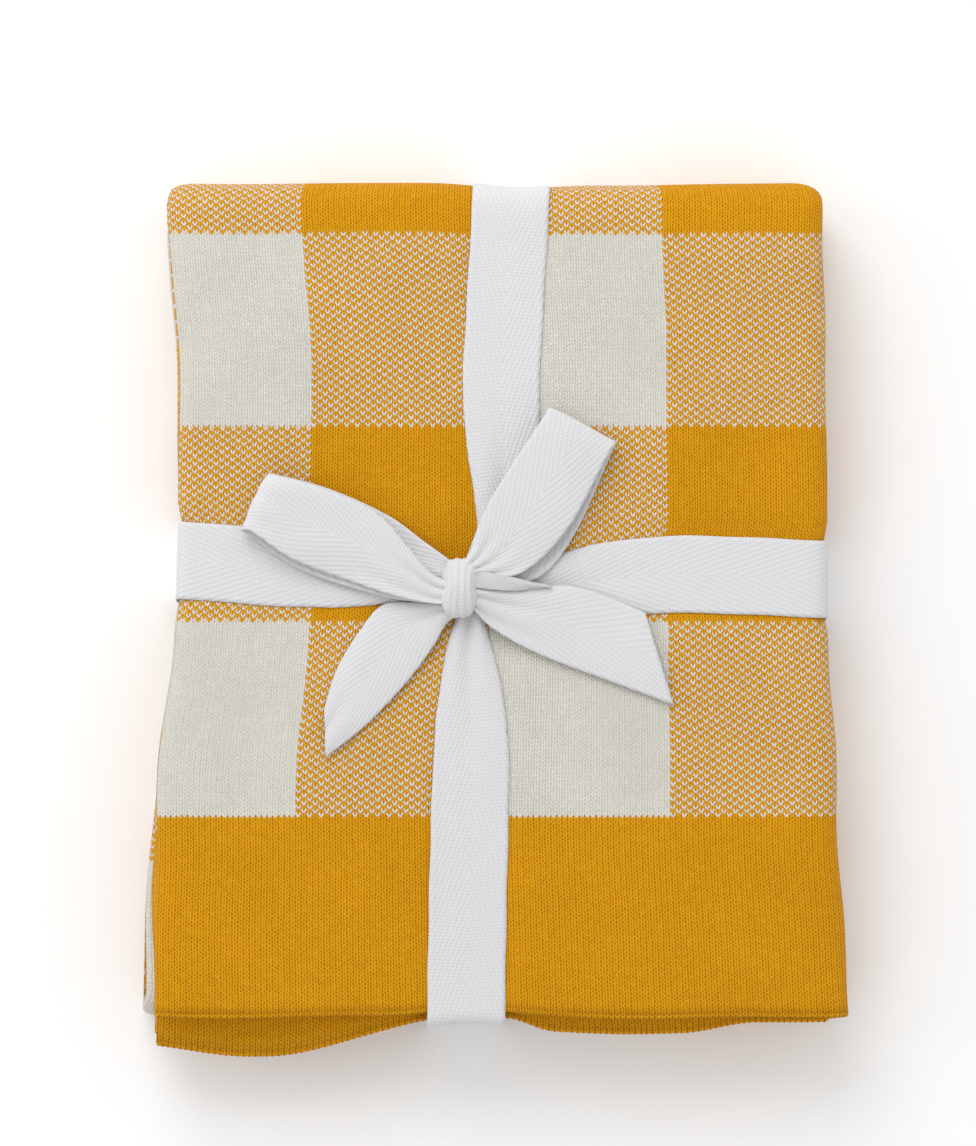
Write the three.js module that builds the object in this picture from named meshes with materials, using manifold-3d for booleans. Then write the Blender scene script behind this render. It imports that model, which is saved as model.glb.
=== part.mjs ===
// A cotton throw folded in four across its width and in four along its length, tied both ways
// with twill tape and finished with a bow. Millimetres, +Z up, +Y towards the back folds.
import * as THREE from "three";
import { mergeVertices } from "three/addons/utils/BufferGeometryUtils.js";
import Module from "manifold-3d";

const wasm = await Module();
wasm.setup();

// Cloth
const clothThickness = 2; // one layer of double knit, lying under the tape
const layersPerLeaf = 4; // the width is folded in half twice
const leaves = 4; // and then the length
const gap = 0.3; // between neighbouring solids
const foldedLength = 238; // front edge of the top leaf to the back of the outer fold
const waistWidth = 184.5; // where the tape pulls the sides in
const waistFromBack = 110;
const backFlare = 2; // how much wider the back is than the waist
const frontFlare = 12;
const borderLength = 57; // solid-coloured band at each end of the cloth
const hemLength = 3; // cast-off edge
const leftSpread = 4; // how far the inner leaves slip out at the front left
const backCornerRadius = 11;
const flapReach = 2; // second border past the top one
const flapBulge = 9; // and how much further it hangs out near its loose corner
const flapFromLeft = 36;
const flapSpread = 34;

// Tape
const tapeWidth = 22;
const tapeThickness = 0.6;
const tapePress = 0.9; // how deep the inner tape sits below the top of the cloth
const bandPull = 3.5; // how far the tape draws in the back fold
const frontCornerRadius = 2.5; // bends of the tape round the stack
const backBendRadius = 9;
const sideBendRadius = 5;
const bandSlack = 1.2; // the tape stands this far off the second border
const crossingX = -5; // where the two bands cross, from the middle of the cloth
const crossingY = 8;
const lengthBandTurn = -3; // degrees about Z
const widthBandTurn = -1.9;

// Bow
const knotOffsetX = -5; // from where the bands cross
const knotOffsetY = -5;
const knotWidth = 11;
const knotLength = 16;
const knotHeight = 9;
const throatWidth = 7; // tape gathered where it leaves the knot
const throatClearance = 1;
const loopHeight = 5;
const bow = [
  { name: "left_loop", loop: true, azimuth: 155, reach: 61, widensOver: 0.5, cut: 0 },
  { name: "upper_loop", loop: true, azimuth: 56, reach: 47, widensOver: 0.55, cut: 0 },
  { name: "left_tail", loop: false, azimuth: 225, reach: 50, widensOver: 0.45, cut: 32 },
  { name: "right_tail", loop: false, azimuth: 339, reach: 57, widensOver: 0.45, cut: -35 },
];

const leafPitch = layersPerLeaf * clothThickness;
const leafThickness = leafPitch - gap;
const stackHeight = leaves * leafPitch - gap;
const backEdge = foldedLength / 2;
const frontEdge = -foldedLength / 2;
const backStart = backEdge - stackHeight / 2; // where the back folds begin
const frontStart = frontEdge + leafPitch; // where the front fold begins
const waistAt = backEdge - waistFromBack;

const mustardCheck = new THREE.MeshStandardMaterial({ color: 0xdcab55, roughness: 0.95 });
const mustardSolid = new THREE.MeshStandardMaterial({ color: 0xd0950f, roughness: 0.95 });
const whiteTape = new THREE.MeshStandardMaterial({ color: 0xe9e9eb, roughness: 0.85 });

// ---- Solids

function solidOf(geometry) {
  const plain = geometry.index ? geometry.toNonIndexed() : geometry.clone();
  plain.deleteAttribute("normal");
  plain.deleteAttribute("uv");
  const merged = mergeVertices(plain, 1e-3);
  return new wasm.Manifold(
    new wasm.Mesh({
      numProp: 3,
      vertProperties: merged.attributes.position.array,
      triVerts: new Uint32Array(merged.index.array),
    }),
  );
}

function geometryOf(solid) {
  const mesh = solid.getMesh();
  const geometry = new THREE.BufferGeometry();
  geometry.setAttribute("position", new THREE.BufferAttribute(mesh.vertProperties.slice(), 3));
  geometry.setIndex(new THREE.BufferAttribute(mesh.triVerts.slice(), 1));
  geometry.computeVertexNormals();
  return geometry;
}

// Moves every corner of a geometry by a function of its place.
function reshaped(geometry, move) {
  const place = geometry.getAttribute("position");
  const point = new THREE.Vector3();
  for (let i = 0; i < place.count; i++) {
    move(point.fromBufferAttribute(place, i));
    place.setXYZ(i, point.x, point.y, point.z);
  }
  return geometry;
}

// A side profile in X and Z, run from back to front.
function sweptAlongY(profile, front, back, steps) {
  const options = { depth: back - front, steps, bevelEnabled: false, curveSegments: 6 };
  return new THREE.ExtrudeGeometry(profile, options).rotateX(Math.PI / 2).translate(0, back, 0);
}

// A side profile in Y and Z, run from left to right.
function sweptAlongX(profile, left, right) {
  const options = { depth: right - left, bevelEnabled: false, curveSegments: 8 };
  const across = new THREE.Matrix4().makeBasis(
    new THREE.Vector3(0, 1, 0),
    new THREE.Vector3(0, 0, 1),
    new THREE.Vector3(1, 0, 0),
  );
  return new THREE.ExtrudeGeometry(profile, options).applyMatrix4(across).translate(left, 0, 0);
}

function box(width, length, height, x, y, z) {
  return solidOf(new THREE.BoxGeometry(width, length, height).translate(x, y, z));
}

// ---- Cloth

// Half the folded width at a place along the length: it spreads from the waist to both ends.
function halfWidthAt(y) {
  const toBack = Math.max(0, (y - waistAt) / (backEdge - waistAt));
  const toFront = Math.max(0, (waistAt - y) / (waistAt - frontEdge));
  return (waistWidth + toBack ** 2 * backFlare + toFront ** 2 * frontFlare) / 2;
}

// How far the left side of an inner leaf has slipped out.
function slipAt(y, spread) {
  return spread * Math.max(0, (waistAt - y) / (waistAt - frontEdge)) ** 1.5;
}

// One leaf seen from its end: a rounded wrap of all its layers at the right, and at the left a
// tight fold above the two selvedges.
function leafProfile() {
  const half = waistWidth / 2;
  const wrap = leafThickness / 2;
  const small = leafThickness / 4;
  const profile = new THREE.Shape();
  profile.moveTo(small - half, 0);
  profile.lineTo(half - wrap, 0);
  profile.absarc(half - wrap, wrap, wrap, -Math.PI / 2, Math.PI / 2, false);
  profile.lineTo(small - half, leafThickness);
  profile.absarc(small - half, 3 * small, small, Math.PI / 2, (3 * Math.PI) / 2, false);
  profile.absarc(small - half, small, small, Math.PI / 2, (3 * Math.PI) / 2, false);
  return profile;
}

function leafPart(front, back, level, spread) {
  const steps = Math.max(1, Math.round((back - front) / 28));
  const geometry = sweptAlongY(leafProfile(), front, back, steps).translate(0, 0, level * leafPitch);
  return reshaped(geometry, (point) => {
    const wider = halfWidthAt(point.y) - waistWidth / 2;
    point.x += point.x < 0 ? -wider - slipAt(point.y, spread) : wider;
  });
}

// The front edge of the second border, which hangs out near its loose left corner.
function flapEdgeAt(x) {
  const fromBulge = x + halfWidthAt(frontEdge) - flapFromLeft;
  return frontEdge - flapReach - flapBulge * Math.exp(-((fromBulge / flapSpread) ** 2));
}

// A slab with the plan of the second border, from one line across it to another further back.
function flapPart(frontAt, backAt) {
  const half = halfWidthAt(frontEdge);
  const left = -half - leftSpread / 2;
  const steps = 16;
  const places = Array.from({ length: steps + 1 }, (_, i) => left + ((half - left) * i) / steps);
  const near = places.map((x) => new THREE.Vector2(x, frontAt(x)));
  const far = places.map((x) => new THREE.Vector2(x, backAt(x))).reverse();
  const options = { depth: leafThickness, bevelEnabled: false };
  const slab = new THREE.ExtrudeGeometry(new THREE.Shape([...near, ...far]), options);
  return reshaped(slab.translate(0, 0, 2 * leafPitch), (point) => {
    point.x += Math.sign(point.x) * Math.min(0, halfWidthAt(point.y) - half);
  });
}

// The outer back fold carries the top leaf down to the bottom one, round the inner fold.
function backOuterProfile() {
  const depth = backEdge - backStart;
  const corner = Math.min(backCornerRadius, depth);
  const middle = stackHeight / 2;
  const inner = middle - leafThickness;
  const profile = new THREE.Shape();
  profile.moveTo(gap, 0);
  profile.lineTo(depth - corner, 0);
  profile.absarc(depth - corner, corner, corner, -Math.PI / 2, 0, false);
  profile.lineTo(depth, stackHeight - corner);
  profile.absarc(depth - corner, stackHeight - corner, corner, 0, Math.PI / 2, false);
  profile.lineTo(gap, stackHeight);
  profile.lineTo(gap, middle + inner);
  profile.absarc(gap, middle, inner, Math.PI / 2, -Math.PI / 2, true);
  return profile;
}

function halfRound(radius) {
  const profile = new THREE.Shape();
  profile.moveTo(0, -radius);
  profile.absarc(0, 0, radius, -Math.PI / 2, Math.PI / 2, false);
  return profile;
}

function clothPieces() {
  const borderBack = frontEdge + borderLength;
  const hemBack = frontEdge + hemLength;
  const foldRadius = leafPitch - gap / 2;
  const backHalf = halfWidthAt(backStart);
  const frontHalf = halfWidthAt(frontStart);
  const backInner = sweptAlongX(halfRound(foldRadius - gap / 2), -backHalf, backHalf);
  const frontFold = sweptAlongX(halfRound(foldRadius), -frontHalf - leftSpread / 2, frontHalf);
  const flapBack = borderBack - flapReach;
  return {
    top_leaf: leafPart(borderBack + gap, backStart, 3, 0),
    top_border: leafPart(hemBack + gap, borderBack, 3, 0),
    top_hem: leafPart(frontEdge, hemBack, 3, 0),
    second_leaf: leafPart(flapBack + gap, backStart, 2, leftSpread),
    second_border: flapPart((x) => flapEdgeAt(x) + hemLength + gap, () => flapBack),
    second_hem: flapPart(flapEdgeAt, (x) => flapEdgeAt(x) + hemLength),
    third_leaf: leafPart(frontStart, backStart, 1, leftSpread),
    bottom_leaf: leafPart(frontStart, backStart, 0, leftSpread / 2),
    back_outer_fold: sweptAlongX(backOuterProfile(), -backHalf, backHalf).translate(0, backStart, 0),
    back_inner_fold: backInner.translate(0, backStart + gap, stackHeight / 2),
    front_fold: frontFold.rotateZ(Math.PI).translate(-leftSpread / 2, frontStart - gap, foldRadius),
  };
}

// ---- Tape

// The face of a hoop round the stack, grown outwards by a thickness.
function hoopFace(path, inside, thickness) {
  const left = inside.left - thickness;
  const right = inside.right + thickness;
  const bottom = inside.bottom - thickness;
  const top = inside.top + thickness;
  const start = inside.startBend + thickness;
  const end = inside.endBend + thickness;
  path.moveTo(left + start, bottom);
  path.lineTo(right - end, bottom);
  path.absarc(right - end, bottom + end, end, -Math.PI / 2, 0, false);
  path.lineTo(right, top - end);
  path.absarc(right - end, top - end, end, 0, Math.PI / 2, false);
  path.lineTo(left + start, top);
  path.absarc(left + start, top - start, start, Math.PI / 2, Math.PI, false);
  path.lineTo(left, bottom + start);
  path.absarc(left + start, bottom + start, start, Math.PI, (3 * Math.PI) / 2, false);
  return path;
}

// A flat hoop round the stack: the inside face of its rectangle, and how thick and wide it is.
function hoop(inside, thickness, width) {
  const outer = hoopFace(new THREE.Shape(), inside, thickness);
  outer.holes.push(hoopFace(new THREE.Path(), inside, 0));
  return sweptAlongX(outer, -width / 2, width / 2);
}

// The inside faces of the two hoops, measured from where they cross.
const lengthHoop = {
  startBend: frontCornerRadius,
  endBend: backBendRadius,
  left: frontEdge - flapReach - bandSlack - crossingY,
  right: backEdge - bandPull - crossingY,
  bottom: gap + 2 * tapeThickness + gap,
  top: stackHeight - tapePress - tapeThickness,
};
const widthHoop = {
  startBend: sideBendRadius,
  endBend: sideBendRadius,
  left: -waistWidth / 2 - crossingX,
  right: waistWidth / 2 - crossingX,
  bottom: gap + tapeThickness,
  top: lengthHoop.top + tapeThickness + gap,
};

function placedHoop(geometry, turn) {
  return geometry.rotateZ(THREE.MathUtils.degToRad(turn)).translate(crossingX, crossingY, 0);
}

// The room a hoop takes out of the cloth, with a gap all round and everything outside it.
function grooveFor(inside, turn) {
  const cleared = {
    ...inside,
    left: inside.left + gap,
    right: inside.right - gap,
    bottom: inside.bottom + gap,
    top: inside.top - gap,
  };
  return solidOf(placedHoop(hoop(cleared, leafPitch * 2, tapeWidth + 2 * gap), turn));
}

const lengthTurn = lengthBandTurn;
const widthTurn = widthBandTurn - 90;

function bandArms() {
  const lengthBand = solidOf(placedHoop(hoop(lengthHoop, tapeThickness, tapeWidth), lengthTurn));
  const widthBand = solidOf(placedHoop(hoop(widthHoop, tapeThickness, tapeWidth), widthTurn));
  const clearing = tapeWidth + 4;
  const below = box(clearing, clearing, leafPitch, crossingX, crossingY, 0);
  const reach = foldedLength;
  const side = reach + gap;
  const middle = stackHeight / 2;
  const half = (x, y) =>
    box(reach * 2, reach * 2, reach, crossingX + x * side, crossingY + y * side, middle);
  const arm = (band, x, y) => geometryOf(band.subtract(below).intersect(half(x, y)));
  return {
    band_back: arm(lengthBand, 0, 1),
    band_front: arm(lengthBand, 0, -1),
    band_left: arm(widthBand, -1, 0),
    band_right: arm(widthBand, 1, 0),
    underside_turn: new THREE.BoxGeometry(tapeWidth, tapeWidth, 2 * tapeThickness)
      .rotateZ(THREE.MathUtils.degToRad(lengthTurn))
      .translate(crossingX, crossingY, gap + tapeThickness),
  };
}

// ---- Bow

const knotX = crossingX + knotOffsetX;
const knotY = crossingY + knotOffsetY;
const bandTop = widthHoop.top + tapeThickness;
const knotMiddle = bandTop + gap + knotHeight / 2;

// The knot's edge in one direction, where its ellipse ends.
function knotRadiusTowards(azimuth) {
  const across = Math.cos(azimuth) / (knotWidth / 2);
  const along = Math.sin(azimuth) / (knotLength / 2);
  return 1 / Math.hypot(across, along);
}

function smooth(t) {
  const s = THREE.MathUtils.clamp(t, 0, 1);
  return s * s * (3 - 2 * s);
}

const tailSteps = [0, 0.1, 0.2, 0.3, 0.45, 0.7, 1];

// One free end of the bow: its side profile runs out from the knot, the tape widens from the
// throat, and a cut end is slanted.
function bowPart(part) {
  const azimuth = THREE.MathUtils.degToRad(part.azimuth);
  const start = knotRadiusTowards(azimuth) + throatClearance;
  const length = part.reach - start;
  const halfThickness = part.loop ? loopHeight / 2 : tapeThickness / 2;
  const rest = bandTop + gap + halfThickness;
  const middleAt = (t) => THREE.MathUtils.lerp(knotMiddle, rest, smooth(t / part.widensOver));
  const thickAt = (t) =>
    THREE.MathUtils.lerp(tapeThickness, halfThickness, smooth(t / part.widensOver)) *
    (part.loop ? Math.sqrt(Math.max(0.12, 1 - Math.max(0, (t - 0.94) / 0.06) ** 2)) : 1);
  const outline = (from, inset) => {
    const steps = part.loop ? [from, 0.3, 0.4, 0.5, 0.6, 0.8, 0.94, 0.98, 1] : tailSteps;
    const last = 1 - inset / length;
    const at = (step, side) => {
      const t = Math.min(step, last);
      return new THREE.Vector2(t * length, middleAt(t) + side * (thickAt(t) - inset));
    };
    return [...steps.map((t) => at(t, -1)), ...steps.map((t) => at(t, 1)).reverse()];
  };
  const profile = new THREE.Shape(outline(0, 0));
  if (part.loop) profile.holes.push(new THREE.Path(outline(0.22, tapeThickness)));
  const geometry = sweptAlongX(profile, -tapeWidth / 2, tapeWidth / 2).rotateZ(-Math.PI / 2);
  return reshaped(geometry, (point) => {
    const t = point.x / length;
    const share = THREE.MathUtils.lerp(throatWidth / tapeWidth, 1, smooth(t / part.widensOver));
    const slant = Math.tan(THREE.MathUtils.degToRad(part.cut)) * t ** 4;
    point.y *= share;
    point.x += point.y * slant + start;
  })
    .rotateZ(azimuth)
    .translate(knotX, knotY, 0);
}

function knotShape() {
  return new THREE.SphereGeometry(1, 16, 10)
    .rotateX(Math.PI / 2)
    .scale(knotWidth / 2, knotLength / 2, knotHeight / 2)
    .translate(knotX, knotY, knotMiddle);
}

// ---- Assembly

const throwBlanket = new THREE.Group();

function add(name, geometry, material) {
  const mesh = new THREE.Mesh(geometry, material);
  mesh.name = name;
  throwBlanket.add(mesh);
}

const grooves = grooveFor(lengthHoop, lengthTurn).add(grooveFor(widthHoop, widthTurn));
for (const [name, geometry] of Object.entries(clothPieces())) {
  const material = /border|hem/.test(name) ? mustardSolid : mustardCheck;
  add(name, geometryOf(solidOf(geometry).subtract(grooves)), material);
}
for (const [name, geometry] of Object.entries(bandArms())) add(name, geometry, whiteTape);
add("knot", knotShape(), whiteTape);
for (const part of bow) add(part.name, bowPart(part), whiteTape);

// The origin stands under the middle of the whole object.
const middle = new THREE.Box3().setFromObject(throwBlanket).getCenter(new THREE.Vector3());
throwBlanket.position.set(-middle.x, -middle.y, 0);

export default throwBlanket;
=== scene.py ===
import math
import bpy
import numpy as np
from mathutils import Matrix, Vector


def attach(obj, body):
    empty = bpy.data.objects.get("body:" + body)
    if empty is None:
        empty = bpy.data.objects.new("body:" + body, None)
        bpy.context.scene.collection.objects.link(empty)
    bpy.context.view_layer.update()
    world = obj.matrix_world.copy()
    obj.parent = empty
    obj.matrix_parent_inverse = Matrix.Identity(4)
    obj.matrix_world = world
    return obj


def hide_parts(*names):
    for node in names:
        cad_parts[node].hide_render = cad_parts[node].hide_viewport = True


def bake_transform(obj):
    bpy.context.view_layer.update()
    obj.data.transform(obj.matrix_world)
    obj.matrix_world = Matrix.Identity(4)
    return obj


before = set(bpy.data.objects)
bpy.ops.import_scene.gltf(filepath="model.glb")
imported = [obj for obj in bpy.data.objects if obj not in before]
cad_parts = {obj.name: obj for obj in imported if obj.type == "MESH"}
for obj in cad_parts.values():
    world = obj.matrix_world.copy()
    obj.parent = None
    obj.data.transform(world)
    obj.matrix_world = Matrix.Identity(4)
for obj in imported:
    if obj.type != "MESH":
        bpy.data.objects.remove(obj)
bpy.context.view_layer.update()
mm = 0.001  # every size below is in millimetres and is turned into metres when a mesh is made

# camera, light and floor
camera = {"aim": (-2.0, 13.2, 31.7), "elevation": 87.0, "distance": 1200.0, "viewHeight": 325.5}
studio = {
    "floorTone": 0.985,
    "skyStrength": 0.77,
    "keyPower": 9.9,
    "keySize": 1.1,
    "keyPlace": (-0.35, 1.05, 1.05),
    "sidePower": 2.2,
    "sideSize": 0.8,
    "sidePlace": (-1.3, 0.2, 0.7),
    "floorReach": 3.0,
    "floorDrop": 0.0005,  # a hair under the cloth
}


def makeCamera():
    data = bpy.data.cameras.new("camera")
    data.sensor_width = 36
    data.lens = 36 * camera["distance"] / camera["viewHeight"]
    data.clip_start = 0.05
    data.clip_end = 20
    eye = bpy.data.objects.new("camera", data)
    bpy.context.scene.collection.objects.link(eye)
    up = math.radians(camera["elevation"])
    aim = Vector(camera["aim"]) * mm
    away = Vector((0, -math.cos(up), math.sin(up)))
    eye.location = aim + away * camera["distance"] * mm
    eye.rotation_euler = (math.radians(90 - camera["elevation"]), 0, 0)
    bpy.context.scene.camera = eye


def areaLight(name, place, target, size, power, colour=(1, 1, 1)):
    data = bpy.data.lights.new(name, "AREA")
    data.shape = "DISK"
    data.size = size
    data.energy = power
    data.color = colour
    lamp = bpy.data.objects.new(name, data)
    bpy.context.scene.collection.objects.link(lamp)
    lamp.location = place
    lamp.rotation_euler = (Vector(target) - Vector(place)).to_track_quat("-Z", "Y").to_euler()


def makeStudio():
    world = bpy.data.worlds.new("studioSky")
    bpy.context.scene.world = world
    world.use_nodes = True
    sky = world.node_tree.nodes["Background"]
    sky.inputs["Color"].default_value = (1.0, 1.0, 1.0, 1)
    sky.inputs["Strength"].default_value = studio["skyStrength"]
    areaLight("keyLight", studio["keyPlace"], (0, 0, 0), studio["keySize"], studio["keyPower"])
    areaLight("sideLight", studio["sidePlace"], (0, 0, 0), studio["sideSize"], studio["sidePower"])
    size = studio["floorReach"]
    low = -studio["floorDrop"]
    floor = bpy.data.meshes.new("floor")
    floor.from_pydata(
        [(-size, -size, low), (size, -size, low), (size, size, low), (-size, size, low)],
        [],
        [(0, 1, 2, 3)],
    )
    floorObject = bpy.data.objects.new("floor", floor)
    bpy.context.scene.collection.objects.link(floorObject)
    paper = bpy.data.materials.new("paperFloor")
    paper.use_nodes = True
    shader = paper.node_tree.nodes["Principled BSDF"]
    tone = studio["floorTone"]
    shader.inputs["Base Color"].default_value = (tone, tone, tone, 1)
    shader.inputs["Roughness"].default_value = 0.9
    shader.inputs["Specular IOR Level"].default_value = 0.1
    floor.materials.append(paper)


makeCamera()
makeStudio()
print("camera and studio ready")
bpy.context.scene.view_settings.view_transform = "Standard"

# the folded stack
blanket = {
    "cloth": 1.7,  # thickness of the double knit
    "pitch": 1.95,  # from one layer of cloth to the next
    "waist": 184.5,  # width of the stack under the tape
    "waistCentre": 2.25,
    "waistY": 30.0,
    "leftFlare": 6.4,  # how much wider each side gets towards the front
    "rightFlare": 5.8,
    "backFlare": 2.6,
    "hemY": -111.7,
    "backY": 110.2,  # where the back folds start to turn
    "frontY": -105.5,  # where the front fold starts to turn
    "leafMiddle": (27.85, 19.85, 11.85, 3.85),  # heights, from the top leaf down
    "backSquareness": 4.0,
    "leftFold": 4.0,  # how far the soft left fold rounds over
    "rightFold": 4.5,
    "leftSpread": 4.8,  # the lower leaves slip out to the left
    "lowerSpread": 1.3,  # all the leaves under the top one
    "press": 0.9,  # how deep the tape presses in
    "underPress": 0.65,  # share of that on the underside
    "underLap": 0.62,  # more of it where one tape passes over the other
    "pressEdge": (9.5, 17.0),  # from the middle of the tape: fully pressed, not pressed
    "height": 31.7,
    "wave": 0.3,
    "puff": 0.7,
}
flapShape = {"reach": 9.6, "from": -17.0, "full": -62.0, "secondLip": 2.6, "droop": 3.2}
tape = {
    "width": 22.0,
    "thickness": 0.55,
    # middle line of the two lengths of tape: (place along, place across), knot in the middle
    "lengthLine": [
        (-118, -8.3), (-80, -7.7), (-33, -6.6), (0, -7.4), (10, -6.0), (19, 0.8), (30, 2.4),
        (44, 2.6), (65, 1.5), (122, 4.7),
    ],
    "widthLine": [
        (-96, 17.5), (-64, 14.8), (-35, 12.4), (-12, 9.0), (-4, 9.0), (17, 9.8), (27, 11.2),
        (43, 12.6), (58, 13.0), (98, 11.3),
    ],
    # width of the tape at a distance from the knot, where it is drawn together
    "gather": [(0, 8.0), (9, 8.5), (18, 13.5), (26, 16.8), (37, 20.0), (50, 21.6), (65, 22.0), (130, 22.0)],
    "knotPlace": (-9.8, 8.8),
}


def smooth(value, start, end):
    t = np.clip((value - start) / (end - start), 0, 1)
    return t * t * (3 - 2 * t)


def ripple(x, y, seed, wave=55.0):
    rng = np.random.default_rng(seed)
    total = np.zeros_like(x, dtype=float)
    for k in range(7):
        turn = rng.uniform(0, math.tau)
        long = wave * rng.uniform(0.6, 1.7)
        across = x * math.cos(turn) + y * math.sin(turn)
        total = total + np.sin(across * math.tau / long + rng.uniform(0, math.tau))
    return total / 3.5


def easedLine(stations, value):
    # the stations joined by a soft line: straight steps, averaged over a short stretch
    places, heights = zip(*stations)
    shifts = np.linspace(-7, 7, 9)
    return sum(np.interp(value + d, places, heights) for d in shifts) / len(shifts)


def acrossLengthBand(x, y):
    return x - easedLine(tape["lengthLine"], y)


def acrossWidthBand(x, y):
    return y - easedLine(tape["widthLine"], x)


def settle(points):
    x, y, z = (points[:, k].astype(float).copy() for k in range(3))
    share = x / blanket["waist"]
    left = np.clip(0.5 - share, 0, 1.05)
    right = np.clip(0.5 + share, 0, 1.05)
    front = np.clip((blanket["waistY"] - y) / 143.0, 0, 1.1)
    back = smooth(y, 72, 118)
    upper = smooth(z, 11, 20)
    x = x + blanket["waistCentre"]
    x = x - left * (blanket["leftFlare"] * smooth(front, 0.1, 0.66) + blanket["backFlare"] * 1.4 * back)
    x = x + right * (blanket["rightFlare"] * front**1.4 - 0.6 * back)
    x = x - left**2 * (1 - upper) * blanket["leftSpread"] * smooth(front, 0.45, 0.95)
    x = x - left**2 * (1 - smooth(z, 20, 25)) * blanket["lowerSpread"] * (1 - 0.6 * smooth(front, 0.5, 0.9))
    x = x + 0.5 * ripple(y, z * 2, 3, 55) * (left - right)
    lengthBand = 1 - smooth(np.abs(acrossLengthBand(x, y)), *blanket["pressEdge"])
    widthBand = 1 - smooth(np.abs(acrossWidthBand(x, y)), *blanket["pressEdge"])
    pressed = np.maximum(lengthBand, widthBand)
    high = np.clip(z / blanket["height"], 0, 1)
    z = z - blanket["press"] * pressed * (high - blanket["underPress"] * (1 - high))
    z = z + blanket["underLap"] * lengthBand * widthBand * (1 - high) ** 4
    z = z + high * (1 - pressed) * (blanket["puff"] * smooth(np.abs(acrossLengthBand(x, y)), 12, 45)
        * smooth(np.abs(acrossWidthBand(x, y)), 12, 45) + blanket["wave"] * ripple(x, y, 8))
    edge = np.maximum(smooth(np.abs(x - 1.5), 84, 100), smooth(np.abs(y - 3), 100, 122))
    z = z - 0.7 * high * edge * (1 - pressed)
    x = x - 1.3 * widthBand * (right**3 - left**3)
    corner = np.clip((y - 119.0) / 7.0, 0, 1)
    x = x - 4.5 * (1 - np.sqrt(1 - corner**2)) * (right**3 - left**3)
    y = y + 1.7 * np.exp(-((acrossLengthBand(x, y) / 14) ** 2)) * smooth(-y, 70, 112)
    y = y - 2.0 * np.exp(-((acrossLengthBand(x, y) / 14) ** 2)) * smooth(y, 90, 122)
    y = y + 0.5 * ripple(x, z, 5, 70) * smooth(np.abs(y), 70, 115)
    return np.stack([x, y, z], axis=1)


def arcTable(curve, start, end, steps=240):
    t = np.linspace(start, end, steps)
    p = np.stack(curve(t), axis=1)
    return t, np.concatenate([[0], np.cumsum(np.linalg.norm(np.diff(p, axis=0), axis=1))])


def widthMap():
    half = blanket["cloth"] / 2
    pitch = blanket["pitch"]
    xL = -blanket["waist"] / 2 + half + blanket["leftFold"]
    xR = blanket["waist"] / 2 - half - blanket["rightFold"]
    flat = xR - xL
    aL, bL = blanket["leftFold"], pitch / 2
    aR, bR = blanket["rightFold"], 1.5 * pitch
    aI = aR - pitch
    tL, sL = arcTable(
        lambda t: ((aL + half) * np.cos(t), (bL + half) * np.sin(t)), math.pi / 2, 1.5 * math.pi)
    tR, sR = arcTable(lambda t: ((aR + half) * np.cos(t), (bR + half) * np.sin(t)), math.pi / 2, -math.pi / 2)
    tI, sI = arcTable(lambda t: (aI * np.cos(t), bL * np.sin(t)), math.pi / 2, -math.pi / 2)
    quarter = sL[-1] / 2
    stops = {
        "selvedgeLower": -(quarter + flat + sI[-1] + flat + 2.0),
        "innerEnd": -(quarter + flat + sI[-1]),
        "innerStart": -(quarter + flat),
        "leftEnd": -quarter,
        "leftStart": quarter,
        "rightStart": quarter + flat,
        "rightEnd": quarter + flat + sR[-1],
        "selvedgeUpper": quarter + flat + sR[-1] + flat + 4.7,
    }

    def place(u, w):
        x = np.zeros_like(u)
        z = np.zeros_like(u)
        s = stops
        on = u <= s["innerEnd"]
        x[on] = xR + (u[on] - s["innerEnd"])
        z[on] = -bL + w[on]
        on = (u > s["innerEnd"]) & (u <= s["innerStart"])
        t = np.interp(s["innerStart"] - u[on], sI, tI)
        x[on] = xR + (aI - w[on]) * np.cos(t)
        z[on] = (bL - w[on]) * np.sin(t)
        on = (u > s["innerStart"]) & (u <= s["leftEnd"])
        x[on] = xL + (s["leftEnd"] - u[on])
        z[on] = bL - w[on]
        on = (u > s["leftEnd"]) & (u <= s["leftStart"])
        t = np.interp(s["leftStart"] - u[on], sL, tL)
        x[on] = xL + (aL + w[on]) * np.cos(t)
        z[on] = pitch + (bL + w[on]) * np.sin(t)
        on = (u > s["leftStart"]) & (u <= s["rightStart"])
        x[on] = xL + (u[on] - s["leftStart"])
        z[on] = bR + w[on]
        on = (u > s["rightStart"]) & (u <= s["rightEnd"])
        t = np.interp(u[on] - s["rightStart"], sR, tR)
        x[on] = xR + (aR + w[on]) * np.cos(t)
        z[on] = (bR + w[on]) * np.sin(t)
        on = u > s["rightEnd"]
        x[on] = xR - (u[on] - s["rightEnd"])
        z[on] = -bR - w[on]
        return x, z

    lines = np.concatenate([
        np.linspace(s0, s1, n, endpoint=False)
        for s0, s1, n in [
            (stops["selvedgeLower"], stops["innerEnd"], 22),
            (stops["innerEnd"], stops["innerStart"], 6),
            (stops["innerStart"], stops["leftEnd"], 22),
            (stops["leftEnd"], stops["leftStart"], 10),
            (stops["leftStart"], stops["leftStart"] + 62, 22),
            (stops["leftStart"] + 62, stops["leftStart"] + 108, 28),
            (stops["leftStart"] + 108, stops["rightStart"], 24),
            (stops["rightStart"], stops["rightEnd"], 12),
            (stops["rightEnd"], stops["selvedgeUpper"], 24),
        ]
    ] + [[stops["selvedgeUpper"]]])
    return place, lines, stops


def squircle(t):
    n = blanket["backSquareness"]
    c, s = np.cos(t), np.sin(t)
    r = (np.abs(c) ** n + np.abs(s) ** n) ** (-1 / n)
    return c * r, s * r


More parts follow.
